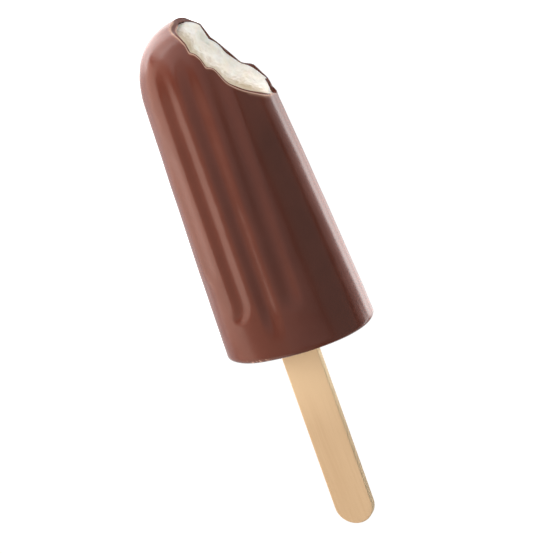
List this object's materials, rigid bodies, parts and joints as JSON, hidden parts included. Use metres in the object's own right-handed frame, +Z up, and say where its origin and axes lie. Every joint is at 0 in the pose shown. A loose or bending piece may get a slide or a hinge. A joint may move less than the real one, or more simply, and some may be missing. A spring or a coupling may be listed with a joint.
{
  "type": "ice cream bar",
  "caption": "Ice cream bar lying on its back: fluted chocolate shell over a vanilla core on a flat round-ended wooden stick, bitten at one top corner.",
  "frame": {"origin": "centre of the whole object's box, at the ground it lies on", "axes": "+X across the bar's width towards the bitten side, +Y along the bar towards its bitten rounded end, +Z up through its thickness towards the fluted front"},
  "size_m": [0.042, 0.1466, 0.0253],
  "materials": {
    "chocolate": "soft satin milk chocolate",
    "vanilla": "soft frozen cream with a fine crystalline grain",
    "birch": "smooth raw birch"
  },
  "bodies": {
    "root": {"coating": "chocolate", "ice_cream": "vanilla", "stick": "birch"}
  },
  "joints": []
}
